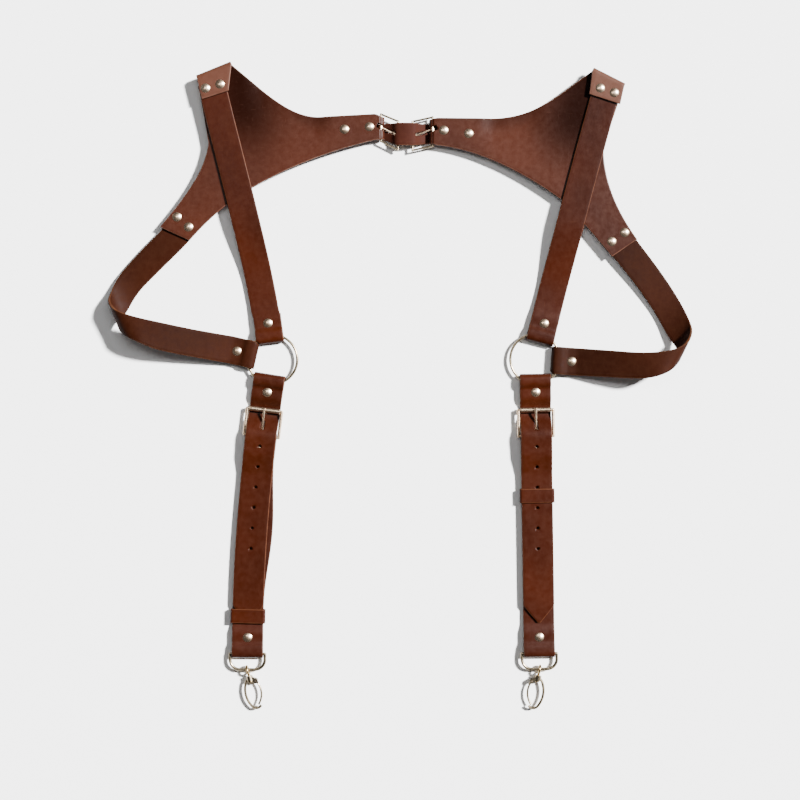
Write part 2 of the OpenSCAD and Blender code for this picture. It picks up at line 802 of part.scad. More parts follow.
module hook_body(i) {
    color(NICKEL)
        at_hook(i)
            difference() {
                union() {
                    rod([collar_x, 0, 0], [collar_x + collar_len, 0, 0], collar_r);
                    flat_tube(oval_line, hook_r);
                    translate([0, 0, -lug_z - lug_t])
                        linear_extrude(height = 2 * (lug_z + lug_t))
                            polygon([[pin_x + 2.2, -pin_y - 1.8], [pin_x + 2.2, -pin_y + 1.8],
                                [collar_x + collar_len - 0.4, -1.8], [collar_x + 1.2, -2.4],
                                [pin_x - 1.6, -pin_y - 1.8]]);
                }
                rod([0, 0, 0], [collar_x + collar_len + 2, 0, 0], stem_r + 0.06);
                rod([collar_x + collar_len + 0.05, 0, 0], [stem_end + 0.3, 0, 0], stem_r + 1.1);
                translate([pin_x, -pin_y, -lug_z])
                    cylinder(r = 2.9, h = 2 * lug_z);
                translate([pin_x, -pin_y, -5])
                    cylinder(r = gate_pin_r + 0.01, h = 10);
            }
}

module gate_wire() {
    way = unit(gate_chord);
    middle = [pin_x, -pin_y] + gate_chord / 2 + [-way[1], way[0]] * (gate_arc_r - gate_sag);
    wire_arc(middle[0], middle[1], gate_arc_r, heading(way) - 90 - gate_half_a, 2 * gate_half_a, gate_r);
}

module hook_gate(i) {
    color(NICKEL)
        at_hook(i)
            difference() {
                union() {
                    translate([pin_x, -pin_y, -1.5])
                        cylinder(r = 1.9, h = knuckle_h);
                    gate_wire();
                }
                translate([pin_x, -pin_y, knuckle_h - 1.5])
                    cylinder(r = spring_coil_r + spring_wire_r + 0.15, h = 4);
                translate([pin_x, -pin_y, -5])
                    cylinder(r = gate_pin_r + 0.05, h = 10);
            }
}

module hook_gate_pin(i) {
    color(NICKEL)
        at_hook(i)
            translate([pin_x, -pin_y, -lug_z - lug_t])
                cylinder(r = gate_pin_r, h = 2 * (lug_z + lug_t));
}

// The gate's torsion spring, a short coil round the pin
module hook_spring(i) {
    n = spring_turns * spring_steps;
    rings = [for (k = [0:n]) for (j = [0:7])
        let (a = 360 * k / spring_steps, b = 45 * j, r = spring_coil_r + spring_wire_r * cos(b))
        [r * cos(a), r * sin(a), 0.5 * k / spring_steps + spring_wire_r * sin(b)]];
    walls = [for (k = [0:n - 1]) for (j = [0:7])
        let (p = 8 * k + j, q = 8 * k + (j + 1) % 8)
        each [[p, q, p + 8], [q, q + 8, p + 8]]];
    color(NICKEL)
        at_hook(i)
            translate([pin_x, -pin_y, knuckle_h - 1.5 + spring_wire_r + 0.05])
                polyhedron(rings, concat(walls, [[for (j = [7:-1:0]) j], [for (j = [0:7]) 8 * n + j]]));
}

translate(placement) {
    link_strap();
    for (i = [0, 1]) {
        yoke(i);
        yoke_rivets(i);
        tab_rivets(i);
        side_rivets(i);
        shoulder_strap(i);
        side_strap(i);
        strap_ring_rivets(i);
        link_frame(i);
        link_prong(i);
        o_ring(i);
        billet(i);
        billet_rivet(i);
        buckle_frame(i);
        buckle_roller(i);
        buckle_prong(i);
        lower_strap(i);
        lower_rivets(i);
        keeper(i);
        d_ring(i);
        hook_swivel(i);
        hook_body(i);
        hook_gate(i);
        hook_gate_pin(i);
        hook_spring(i);
    }
}
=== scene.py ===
"""Leather shoulder breast harness: detailed leather, metal finishes, studio light and camera."""
import math

import bmesh
import bpy
import numpy as np
from mathutils import Matrix, Vector, noise


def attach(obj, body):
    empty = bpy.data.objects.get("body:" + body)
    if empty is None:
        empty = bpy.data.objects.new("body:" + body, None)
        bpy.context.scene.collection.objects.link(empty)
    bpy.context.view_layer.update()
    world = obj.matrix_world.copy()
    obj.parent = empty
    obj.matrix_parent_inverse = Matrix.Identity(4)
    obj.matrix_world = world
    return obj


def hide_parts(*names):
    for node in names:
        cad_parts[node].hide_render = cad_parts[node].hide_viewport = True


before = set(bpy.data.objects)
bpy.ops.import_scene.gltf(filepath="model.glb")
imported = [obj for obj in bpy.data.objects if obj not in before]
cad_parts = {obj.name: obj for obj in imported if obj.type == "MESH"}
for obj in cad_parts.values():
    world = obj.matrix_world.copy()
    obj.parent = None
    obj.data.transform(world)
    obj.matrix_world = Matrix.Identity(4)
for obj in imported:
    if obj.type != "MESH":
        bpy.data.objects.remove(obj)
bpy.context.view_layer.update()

MM = 0.001
SIDES = ("left", "right")
# The harness's own drawing, in millimetres, is shifted by this much in the frame
PLACEMENT = np.array([0.4, -2.8, -0.2])

# ---- camera, straight above the middle of the laid-out harness ----

CAMERA_AT = Vector((-0.0001, -0.0133, 1.6))
VIEW_WIDTH = 0.8
SENSOR_MM = 36.0


def add_camera():
    data = bpy.data.cameras.new("camera")
    data.sensor_width = SENSOR_MM
    data.lens = SENSOR_MM * (CAMERA_AT.z - 0.005) / VIEW_WIDTH
    camera = bpy.data.objects.new("camera", data)
    camera.location = CAMERA_AT
    bpy.context.scene.collection.objects.link(camera)
    bpy.context.scene.camera = camera


add_camera()

# ---- sizes shared with the CAD model, in millimetres ----

LEATHER_T = 2.4
PLY_GAP = 0.1
STRAP_W = 27.5
DROP_W = 31.0
RING_R, RING_WIRE = 26.0, 1.3
FRAME_WIRE = 1.5
PIN_PLAY = 0.08
HOLE_R = 1.5
HOLE_PITCH = 20.5
HOLE_FIRST = 67.0
HOLES = 7
LINK_WIRE = 1.1
BAR_FOLD_SHORT = 0.8
PRONG_NOTCH = (9.4, 5, 16)
KEEPER_T = 1.4
KEEPER_LEN = 14.0

Z_YOKE = 9.0
Z_SHOULDER = Z_YOKE + LEATHER_T + PLY_GAP
Z_TAB = Z_SHOULDER + LEATHER_T + PLY_GAP
Z_SIDE = Z_YOKE - LEATHER_T - PLY_GAP
Z_LOWER = 3.1
Z_UPPER = Z_LOWER + LEATHER_T + PLY_GAP
RING_MID = RING_R - RING_WIRE
RING_FOLD_IN = RING_WIRE + 1.0
Z_RING = LEATHER_T + RING_FOLD_IN + 0.3
RING_FOLD_D = math.sqrt(RING_MID**2 - STRAP_W**2 / 4)
DROP_FOLD_D = math.sqrt(RING_MID**2 - DROP_W**2 / 4)
RING_RIVET_D = 36.5
BILLET_RIVET_D = 33.3
HEEL_IN = FRAME_WIRE + PIN_PLAY
Z_HEEL = 5.4
LINK_IN = LINK_WIRE + PIN_PLAY
Z_LINK = Z_YOKE - LINK_IN - LEATHER_T / 2
HEEL_AT = 77.0
DROP_LEN = 295.5
TIP_FROM, TIP_AT = 247.0, 264.5
KEEPER_AT = (257.5, 137.0)
STRAY, STRAY_FROM, STRAY_TO = (5.0, 0.0), 95.0, 247.0

RING_C = ((-128, 30), (134.5, 30.5))
SHOULDER_LINE = (
    ((-188.3, 305), (-166.4, 213.6), (-139.8, 123.3), RING_C[0]),
    ((206.5, 303), (180.7, 212.8), (158, 121.5), RING_C[1]),
)
SHOULDER_LEN = 282.0
SINK_FROM, SINK_TO, Z_SHOULDER_RUN = (126.0, 139.0), (206.0, 215.0), 3.6
SIDE_RUN = (
    (
        (-219, 183, Z_SIDE, -199.5, 165, Z_SIDE),
        (-238, 160, Z_SIDE - 0.15, -213.5, 146, Z_SIDE - 0.15),
        (-260.5, 137.5, 4.8, -241, 118.9, 4.8),
        (-280.5, 114.5, 5, -261, 98.5, 3.4),
        (-288.3, 98.5, 9.5, -272.5, 80, 4.4),
        (-289.3, 88, 18, -280, 64, 10.5),
        (-281.5, 79, 25.5, -273.5, 54.5, 22),
        (-264.5, 72.5, 27, -259.5, 47, 27),
        (-236, 66, 23.5, -241, 39.5, 23.5),
        (-206, 59.8, 16, -212, 33.3, 16),
    ),
    (
        (221, 169.5, Z_SIDE, 199, 154, Z_SIDE),
        (235.5, 150, Z_SIDE - 0.15, 212.5, 133, Z_SIDE - 0.15),
        (259.5, 118.5, 4.8, 236.5, 103, 4.8),
        (277, 92, 5, 254.5, 77, 3.4),
        (287, 71.5, 9.5, 266, 56, 4.4),
        (288.8, 58, 18, 278, 35, 10.5),
        (281.5, 45.5, 25.5, 270.5, 22.5, 22),
        (265, 38.5, 27, 258, 14.5, 27),
        (240, 36.5, 23.5, 240, 10.8, 23.5),
        (212, 38.5, 16, 211, 11.8, 16),
    ),
)
SIDE_RING_WAY = ((0.974, -0.227), (-0.998, 0.069))
DROP_LINE = (
    (RING_C[0], (-144.3, -67.1), (-153, -166), (-153, -264.5)),
    (RING_C[1], (135.8, -68), (137.8, -166), (138.8, -264)),
)

# ---- lines and bands, in millimetres ----


def bez(p, u):
    a, b, c, d = (np.array(q, float) for q in p)
    return a * (1 - u) ** 3 + b * 3 * u * (1 - u) ** 2 + c * 3 * u * u * (1 - u) + d * u**3


def bez_way(p, u):
    a, b, c, d = (np.array(q, float) for q in p)
    v = (b - a) * (1 - u) ** 2 + (c - b) * 2 * u * (1 - u) + (d - c) * u * u
    return v / np.linalg.norm(v)


def across(middle, way, width, z):
    side = np.array([-way[1], way[0]]) * width / 2
    return [*(middle + side), z, *(middle - side), z]


def catmull(stations, steps=6):
    """Stations with smooth ones put between them."""
    s = np.array(stations, float)
    last = len(s) - 1
    out = []
    for i in range(last):
        p0, p1, p2, p3 = s[max(i - 1, 0)], s[i], s[i + 1], s[min(i + 2, last)]
        for k in range(steps):
            u = k / steps
            out.append((p1 * 2 + (p2 - p0) * u + (p0 * 2 - p1 * 5 + p2 * 4 - p3) * u * u
                        + (p1 * 3 - p0 - p2 * 3 + p3) * u**3) / 2)
    out.append(s[last])
    return np.array(out)


def fold_arc(d, z, inner, out=-1, first=1, steps=12):
    r = inner + LEATHER_T / 2
    turns = [math.pi * k / steps for k in range(steps + 1)]
    return [(d + out * r * math.sin(a), z + first * r * math.cos(a)) for a in turns]


def resampled(stations, step=2.2, blur=1.0):
    """Even stations along a band: corners eased, ends kept, rows closer together at both ends."""
    s = np.array(stations, float)
    mid = (s[:, :3] + s[:, 3:]) / 2
    run = np.concatenate([[0], np.cumsum(np.linalg.norm(np.diff(mid, axis=0), axis=1))])
    fine = np.arange(0, run[-1], 0.25)
    dense = np.stack([np.interp(fine, run, s[:, k]) for k in range(6)], axis=1)
    reach = int(blur / 0.25 * 3)
    weights = np.exp(-0.5 * (np.arange(-reach, reach + 1) * 0.25 / blur) ** 2)
    weights /= weights.sum()
    before = 2 * dense[0] - dense[reach:0:-1]
    after = 2 * dense[-1] - dense[-2:-reach - 2:-1]
    padded = np.concatenate([before, dense, after])
    eased = np.stack([np.convolve(padded[:, k], weights, "valid") for k in range(6)], axis=1)
    at = end_rows(fine[-1], step)
    return at, np.stack([np.interp(at, fine, eased[:, k]) for k in range(6)], axis=1)


EDGE_ROWS = (0.0, 0.06, 0.22, 0.48, 0.85)


def end_rows(length, step):
    """Distances along a length, close together near both ends for a rounded edge."""
    inner = np.linspace(EDGE_ROWS[-1], length - EDGE_ROWS[-1],
                        max(3, int(round((length - 1.7) / step)) + 1))
    return np.concatenate([EDGE_ROWS[:-1], inner, length - np.array(EDGE_ROWS[-2::-1])])


def height_at_edge(distance, half, round_r=0.8):
    """Half the leather's thickness at a distance from its nearest edge, rounded over."""
    d = np.clip(distance, 0, round_r)
    return half - round_r + np.sqrt(np.maximum(round_r**2 - (round_r - d) ** 2, 0))


def wave(x, y, z):
    """A slight rise and fall that every layer at one place shares."""
    return 0.12 * noise.noise((x / 37, y / 37, z / 90)) + 0.05 * noise.noise((x / 11, y / 11, z / 60))


def sheet_mesh(name, middle, edge_distance, thickness=LEATHER_T, round_r=0.8, closed=False, face=1):
    """A closed sheet of leather about a grid of middle points, rows by columns by three."""
    rows, columns = middle.shape[:2]
    if closed:
        du = np.roll(middle, -1, axis=0) - np.roll(middle, 1, axis=0)
    else:
        du = np.gradient(middle, axis=0)
    normal = np.cross(du, np.gradient(middle, axis=1))
    normal *= face / np.maximum(np.linalg.norm(normal, axis=2, keepdims=True), 1e-9)
    half = height_at_edge(edge_distance, thickness / 2, round_r)[..., None]
    lift = np.zeros_like(middle)
    lift[..., 2] = [[wave(*p) for p in row] for row in middle]
    upper = middle + lift + normal * half
    lower = middle + lift - normal * half
    points = (np.concatenate([upper.reshape(-1, 3), lower.reshape(-1, 3)]) + PLACEMENT) * MM
    index = np.arange(rows * columns).reshape(rows, columns)
    if closed:
        index = np.concatenate([index, index[:1]])
    a, b, c, d = index[:-1, :-1], index[1:, :-1], index[1:, 1:], index[:-1, 1:]
    top = np.stack([a, b, c, d], axis=-1).reshape(-1, 4)
    below = rows * columns
    bottom = top[:, ::-1] + below
    if closed:
        rims = [index[:, 0], index[::-1, -1]]
    else:
        rims = [np.concatenate([index[0, :], index[1:, -1], index[-1, -2::-1], index[-2::-1, 0]])]
    rim = np.concatenate([np.stack([r[:-1], r[1:], r[1:] + below, r[:-1] + below], axis=-1) for r in rims])
    faces = np.concatenate([top, bottom, rim])
    kind = np.repeat([0, 1, 2], [len(top), len(bottom), len(rim)])
    mesh = bpy.data.meshes.new(name)
    mesh.from_pydata(points.tolist(), [], faces.tolist())
    mesh.polygons.foreach_set("use_smooth", [True] * len(faces))
    mesh.polygons.foreach_set("material_index", kind.astype(np.int32))
    edge = mesh.attributes.new("edge", "FLOAT", "POINT")
    edge.data.foreach_set("value", np.tile(edge_distance.reshape(-1), 2).astype(np.float32))
    mesh.update()
    bm = bmesh.new()
    bm.from_mesh(mesh)
    bmesh.ops.recalc_face_normals(bm, faces=bm.faces)
    bm.to_mesh(mesh)
    bm.free()
    return mesh


def columns_across(width, count=11):
    """Places across a width, as fractions, close together near both sides."""
    inner = np.linspace(EDGE_ROWS[-1], width - EDGE_ROWS[-1], count)
    return np.concatenate([EDGE_ROWS[:-1], inner, width - np.array(EDGE_ROWS[-2::-1])]) / width


def strap_mesh(name, stations, step=2.2, blur=1.0, open_start=False, face=-1, count=11):
    """A strap through stations. An open start has no rounded edge, since it carries on from other leather."""
    at, rows = resampled(stations, step, blur)
    width = np.linalg.norm(rows[:, :3] - rows[:, 3:], axis=1)
    share = columns_across(width.max(), count)[None, :, None]
    middle = rows[:, None, :3] * (1 - share) + rows[:, None, 3:] * share
    side = np.minimum(share[..., 0], 1 - share[..., 0]) * width[:, None]
    end = at[-1] - at
    if not open_start:
        end = np.minimum(end, at)
    return sheet_mesh(name, middle, np.minimum(side, end[:, None]), face=face)


def polyline(points, step):
    """Even points along a line of points, its corners kept."""
    out = []
    for a, b in zip(points[:-1], points[1:]):
        a, b = np.array(a, float), np.array(b, float)
        n = max(1, int(round(np.linalg.norm(b - a) / step)))
        out += [a + (b - a) * k / n for k in range(n)]
    return np.array(out + [np.array(points[-1], float)])


def spread(line, count):
    """That many points spaced evenly along a line."""
    run = np.concatenate([[0], np.cumsum(np.linalg.norm(np.diff(line, axis=0), axis=1))])
    at = np.linspace(0, run[-1], count)
    return np.stack([np.interp(at, run, line[:, k]) for k in range(2)], axis=1)


def away_from(points, line):
    """Distance of each point from the nearest part of a line."""
    best = np.full(points.shape[:-1], 1e9)
    for a, b in zip(line[:-1], line[1:]):
        v = b - a
        length = max(float(v @ v), 1e-12)
        u = np.clip(((points - a) @ v) / length, 0, 1)
        best = np.minimum(best, np.linalg.norm(points - (a + u[..., None] * v), axis=-1))
    return best


# ---- yokes ----

YOKE_TOP = (
    ((-168, 323.5), (-133, 294.5), (-110, 272), (-81, 272)),
    ((191, 317.5), (158, 294), (135, 271), (90, 270.5)),
)
YOKE_END = (((-25, 275), (-19.5, 272.6), (-19.5, 249.5)), ((37, 271), (32, 270.1), (32, 245)))
YOKE_BOTTOM = (
    ((-25, 249), (-60, 241), (-105, 226), (-147, 202)),
    ((37, 243.5), (72, 240), (115, 222), (159.5, 190)),
)
YOKE_INNER = (
    ((-147, 202), (-172, 187), (-192, 170), (-210.5, 148.5)),
    ((159.5, 190), (176, 174), (195, 152), (211, 132.5)),
)
YOKE_OUTER = (
    ((-240, 161.8), (-222, 184), (-195, 214), (-191.5, 246)),
    ((236.2, 149.8), (220, 172), (202, 205), (202.5, 242)),
)
FOLD_END = ((-202.5, 309.5), (222.5, 301.5))
# The stretch of each panel that is free to bow: its middle, its half length, and how far it bows
YOKE_MIDDLE = (-112, 110)
YOKE_FREE = (46, 36)
YOKE_BOW = 2.2
BOW_REACH = 34
# How much paler the folded tabs are painted: a painted sheen for the light they catch as they tilt up
TAB_PAINTED_SHEEN = (0.22, 0.4)
# Where the painted shade is darkest: beside the peak, running down along the strap
PAINTED_SHADE_AT = 4
PAINTED_SHADE_RUN = ((10, -36), (-8, -40))
TAB_TIP = (((-171, 297), (-197.5, 288.5)), ((187.5, 293.5), (218.5, 283.5)))


def bez_points(p, n=40):
    return [bez(p, k / n) for k in range(n + 1)]


def nearest(line, point):
    return int(np.argmin(np.linalg.norm(line - np.array(point), axis=1)))


def ramp(x, a, b):
    """0 up to a, 1 from b on, and smooth between."""
    u = np.clip((x - a) / (b - a), 0, 1)
    return u * u * (3 - 2 * u)


def yoke_bow(i, places):
    """How far the free part of a panel bows down along its curved top edge, away from straps and rivets."""
    top = np.array(bez_points(YOKE_TOP[i]))
    near = 1 - ramp(away_from(places, top), 0, BOW_REACH)
    x = np.abs(places[..., 0] - YOKE_MIDDLE[i])
    clear = 1 - ramp(x, YOKE_FREE[i] - 22, YOKE_FREE[i])
    return -YOKE_BOW * near * clear


def yoke_painted_shade(i, places):
    """How much painted shade a panel gets, in place of its tilt from the light and the strap's shadow: most
    at the peak beside the strap, some along the curved top edge.
    """
    peak = np.array(YOKE_TOP[i][0]) + (PAINTED_SHADE_AT, -6) * np.array([1 if i == 0 else -1, 1])
    top = np.array(bez_points(YOKE_TOP[i]))
    return np.maximum(0.9 * (1 - ramp(away_from(places, [peak, peak + PAINTED_SHADE_RUN[i]]), 0, 74)),
                      0.45 * (1 - ramp(away_from(places, top), 0, 20)))


def yoke_plate_mesh(name, i):
    top = bez_points(YOKE_TOP[i])[::-1]
    outer = bez_points(YOKE_OUTER[i])[::-1]
    start, fold_a = YOKE_END[i][1], FOLD_END[i]
    upper = [
        (polyline([start, YOKE_END[i][0], *top], 1.5), 72),
        (polyline([top[-1], fold_a], 1.5), 18),
        (polyline([fold_a, outer[0]], 1.5), 26),
        (polyline(outer, 1.5), 44),
    ]
    low = polyline([YOKE_END[i][2], *bez_points(YOKE_BOTTOM[i]), *bez_points(YOKE_INNER[i])[1:]], 0.5)
    marks = ((-140, 206), (-156, 196.3), (-170, 187.3)) if i == 0 else \
        ((152, 196.2), (165, 184.9), (176, 174.1))
    cuts = [0, *[nearest(low, m) for m in marks], len(low) - 1]
    rows_up, rows_low = [], []
    for k, (line, count) in enumerate(upper):
        skip = 0 if k == 0 else 1
        rows_up.append(spread(line, count)[skip:])
        rows_low.append(spread(low[cuts[k]:cuts[k + 1] + 1], count)[skip:])
    up, lo = np.concatenate(rows_up), np.concatenate(rows_low)
    # rows close together at the free end, under the side strap's rivets
    length = np.linalg.norm(up[-1] - up[-2])
    shares = [1 - e / length for e in EDGE_ROWS[::-1]]
    up = np.concatenate([up[:-1], [up[-2] + (up[-1] - up[-2]) * s for s in shares]])
    lo = np.concatenate([lo[:-1], [lo[-2] + (lo[-1] - lo[-2]) * s for s in shares]])
    grid = np.stack([u + (v - u) * columns_across(np.linalg.norm(v - u), 34)[:, None]
                     for u, v in zip(up, lo)])
    outline = [
        polyline([start, YOKE_END[i][0], *top], 4),
        polyline([fold_a, *outer, YOKE_INNER[i][3], *bez_points(YOKE_INNER[i])[::-1]], 4),
        polyline([*bez_points(YOKE_BOTTOM[i])[::-1], YOKE_END[i][2]], 4),
    ]
    edge = np.minimum.reduce([away_from(grid, line) for line in outline])
    middle = np.concatenate([grid, np.full((*grid.shape[:2], 1), Z_YOKE)], axis=2)
    middle[..., 2] += yoke_bow(i, grid)
    mesh = sheet_mesh(name, middle, edge, face=1 if i == 0 else -1)
    # painted shade: darkest beside the peak and along the top edge, where the panel tilts from the light
    painted_shade = mesh.attributes.new("painted_shade", "FLOAT", "POINT")
    painted_shade.data.foreach_set("value", np.tile(yoke_painted_shade(i, grid).reshape(-1), 2).astype(np.float32))
    return mesh


def yoke_tab_mesh(name, i):
    a, b = np.array(FOLD_END[i], float), np.array(YOKE_TOP[i][0], float)
    way = (b - a) / np.linalg.norm(b - a)
    out = np.array([-way[1], way[0]]) * (1 if i == 0 else -1)
    inner = Z_SHOULDER - Z_YOKE - LEATHER_T / 2
    stations = []
    for d, z in fold_arc(0, Z_SHOULDER, inner, out=1, first=-1):
        stations.append([*(a + out * d), z, *(b + out * d), z])
    for k in range(1, 9):
        u = k / 8
        p = a + (np.array(TAB_TIP[i][1]) - a) * u
        q = b + (np.array(TAB_TIP[i][0]) - b) * u
        stations.append([*p, Z_TAB, *q, Z_TAB])
    mesh = strap_mesh(name, stations, step=1.5, blur=0.5, open_start=True, face=1 if i == 0 else -1)
    # painted sheen: the whole tab is marked to be painted paler and greyer, as if catching the light
    painted_sheen = mesh.attributes.new("painted_sheen", "FLOAT", "POINT")
    painted_sheen.data.foreach_set("value", [TAB_PAINTED_SHEEN[i]] * len(mesh.vertices))
    return mesh


def yoke_bar_fold_mesh(name, i):
    out = -1 if i == 0 else 1
    (bx, by), (_, base) = YOKE_END[i][1], YOKE_END[i][2]
    profile = [(bx + out * x, z) for x, z in fold_arc(0, Z_LINK, LINK_IN)]
    profile += [(bx + out * 2.5, Z_LINK - LINK_IN - LEATHER_T / 2), (bx + out * 6, Z_SIDE),
                (bx + out * 42, Z_SIDE)]
    stations = [[x, by - BAR_FOLD_SHORT, z, x, base, z] for x, z in profile]
    return strap_mesh(name, stations, step=1.5, blur=0.5, open_start=True, face=1 if i == 0 else -1)


# ---- straps ----


def heading(v):
    return math.atan2(v[1], v[0])


def drop_at(i, d):
    return bez(DROP_LINE[i], d / DROP_LEN), bez_way(DROP_LINE[i], d / DROP_LEN)


def under_at(i, d):
    middle, way = drop_at(i, d)
    swell = max(0, min(1, (d - STRAY_FROM) / (STRAY_TO - STRAY_FROM)))
    return middle + np.array([-way[1], way[0]]) * STRAY[i] * math.sin(math.pi * swell) ** 2, way


def ring_end(i, way, width, far):
    """A strap's end: over the O-ring, round its wire and back under the rivet."""
    way = np.array(way) / np.linalg.norm(way)
    profile = [(RING_RIVET_D + 5, Z_UPPER), (RING_RIVET_D - 5, Z_UPPER),
               (27, Z_RING + RING_FOLD_IN + LEATHER_T / 2 - 0.2)]
    profile += fold_arc(RING_FOLD_D, Z_RING, RING_FOLD_IN)
    profile += [(27, Z_RING - RING_FOLD_IN - LEATHER_T / 2), (RING_RIVET_D - 5, Z_LOWER), (far, Z_LOWER)]
    return [across(np.array(RING_C[i]) - way * d, way, width, z) for d, z in profile]


def shoulder_z(i, d):
    u = max(0, min(1, (d - SINK_FROM[i]) / (SINK_TO[i] - SINK_FROM[i])))
    return Z_SHOULDER + (Z_SHOULDER_RUN - Z_SHOULDER) * u * u * (3 - 2 * u)


def shoulder_stations(i):
    heights = [*[(d, shoulder_z(i, d)) for d in range(0, 225, 4)], (232, 4.1)]
    line = SHOULDER_LINE[i]
    run = [across(bez(line, d / SHOULDER_LEN), bez_way(line, d / SHOULDER_LEN), STRAP_W, z)
           for d, z in heights]
    return [*run, *ring_end(i, bez_way(line, 1), STRAP_W, RING_RIVET_D + 9)]


def side_stations(i):
    width = STRAP_W if i == 0 else -STRAP_W
    return [*catmull(SIDE_RUN[i]), *ring_end(i, SIDE_RING_WAY[i], width, RING_RIVET_D + 9)]


BILLET_PROFILE = [
    (40, Z_LOWER), (BILLET_RIVET_D - 4.7, Z_LOWER), (24.6, Z_RING - RING_FOLD_IN - LEATHER_T / 2),
    *fold_arc(DROP_FOLD_D, Z_RING, RING_FOLD_IN, first=-1),
    (25.4, Z_RING + RING_FOLD_IN + LEATHER_T / 2 - 0.1), (BILLET_RIVET_D - 4.7, Z_UPPER),
    (38.2, Z_UPPER), (42.2, 4.4), (46.5, 1.9), (51, 1.5), (56, 1.7), (60, 3.3), (66.5, 7.2), (71, 9.6),
    (75, 10.9), (79, 11), (88, 10.2), (96, 10), (104, 8), (114, 5.9), (122, Z_UPPER),
    *[(d, Z_UPPER) for d in range(135, 247, 8)], (TIP_FROM, Z_UPPER),
]
TIP_WIDTHS = [(TIP_FROM + 7, 20), (TIP_FROM + 13, 10), (TIP_AT - 1, 3.8), (TIP_AT, 3)]
LOWER_PROFILE = [
    (100, Z_LOWER), (85.6, Z_LOWER), (82.4, Z_HEEL - HEEL_IN - LEATHER_T / 2),
    *fold_arc(HEEL_AT, Z_HEEL, HEEL_IN, first=-1),
    (82.2, Z_HEEL + HEEL_IN + LEATHER_T / 2 - 0.1), (85.6, Z_UPPER), (97, Z_UPPER),
    (106, 4.4), (114, Z_LOWER), *[(d, Z_LOWER) for d in range(121, 259, 7)],
    (266, Z_LOWER + 0.2), (273.6, Z_UPPER), (284.4, Z_UPPER), (288, 7.6),
    *fold_arc(DROP_LEN, Z_HEEL, HEEL_IN, out=1),
    (288, Z_HEEL - HEEL_IN - LEATHER_T / 2), (284.4, Z_LOWER), (270.5, Z_LOWER),
]
LINK_RUN = [
    (-25.5, 265, 251.5, 1.64), (-19.5, 265.5, 250.5, 1.64), (-15, 266, 249, 2.4), (-8, 266, 246, 5.6),
    (-4.6, 266, 244, 8.6), (-1, 266, 243.5, 9.6), (4.8, 266, 243.5, 10), (10.5, 266, 243.5, 9.6),
    (14, 265.8, 243.7, 8.6), (18, 265.6, 244.5, 5.6), (26, 265.4, 246, 2.6), (32, 265.2, 247, 1.64),
    (37, 265, 247.5, 1.64),
]


def billet_stations(i):
    stations = [across(*drop_at(i, d), DROP_W, z) for d, z in BILLET_PROFILE]
    return stations + [across(*drop_at(i, d), w, Z_UPPER) for d, w in TIP_WIDTHS]


def lower_stations(i):
    return [across(*under_at(i, d), DROP_W, z) for d, z in LOWER_PROFILE]


def cut(obj, shapes):
    """Takes box or round cutters out of a piece: (place, turn, size) or (place, turn, radius)."""
    bm = bmesh.new()
    for place, turn, size in shapes:
        at = Matrix.Translation(Vector((*(np.array(place) + PLACEMENT[:2]), 7)) * MM)
        at = at @ Matrix.Rotation(turn, 4, "Z")
        if np.isscalar(size):
            bmesh.ops.create_cone(bm, cap_ends=True, segments=24, radius1=size * MM, radius2=size * MM,
                                  depth=0.04, matrix=at)
        else:
            bmesh.ops.create_cube(bm, size=1, matrix=at @ Matrix.Diagonal((*(s * MM for s in size), 1)))
    data = bpy.data.meshes.new("cutter")
    bm.to_mesh(data)
    bm.free()
    for _ in range(3):
        data.materials.append(None)
    data.polygons.foreach_set("material_index", [2] * len(data.polygons))
    cutter = bpy.data.objects.new("cutter", data)
    bpy.context.scene.collection.objects.link(cutter)
    change = obj.modifiers.new("cut", "BOOLEAN")
    change.operation = "DIFFERENCE"
    change.solver = "EXACT"
    change.object = cutter
    bpy.context.view_layer.update()
    done = bpy.data.meshes.new_from_object(obj.evaluated_get(bpy.context.evaluated_depsgraph_get()))
    obj.modifiers.clear()
    obj.data = done
    bpy.data.objects.remove(cutter)


def add_object(name, mesh):
    obj = bpy.data.objects.new(name, mesh)
    bpy.context.scene.collection.objects.link(obj)
    return obj


def joined(name, meshes):
    bm = bmesh.new()
    for mesh in meshes:
        bm.from_mesh(mesh)
    whole = bpy.data.meshes.new(name)
    bm.to_mesh(whole)
    bm.free()
    return whole


def keeper_mesh(name, i):
    """A flat loop of thin leather round both straps."""
    half_w = DROP_W / 2 + 0.45 + KEEPER_T / 2
    low = Z_LOWER - LEATHER_T / 2 - 0.3 - KEEPER_T / 2
    high = Z_UPPER + LEATHER_T / 2 + 0.4 + KEEPER_T / 2
    r = 1.5
    loop = []
    for y, z, a0 in ((half_w - r, high - r, 0), (r - half_w, high - r, 90),
                     (r - half_w, low + r, 180), (half_w - r, low + r, 270)):
        loop += [(y + r * math.cos(math.radians(a0 + 15 * k)), z + r * math.sin(math.radians(a0 + 15 * k)))
                 for k in range(7)]
    loop = polyline([*loop, loop[0]], 1.2)[:-1]
    centre, way = drop_at(i, KEEPER_AT[i])
    side = np.array([-way[1], way[0]])
    along = columns_across(KEEPER_LEN, 7) * KEEPER_LEN
    middle = np.array([[[*(centre + way * (u - KEEPER_LEN / 2) + side * y), z] for u in along]
                       for y, z in loop])
    edge = np.tile(np.minimum(along, KEEPER_LEN - along), (len(loop), 1))
    return sheet_mesh(name, middle, edge, KEEPER_T, 0.5, closed=True, face=-1)


# ---- materials ----


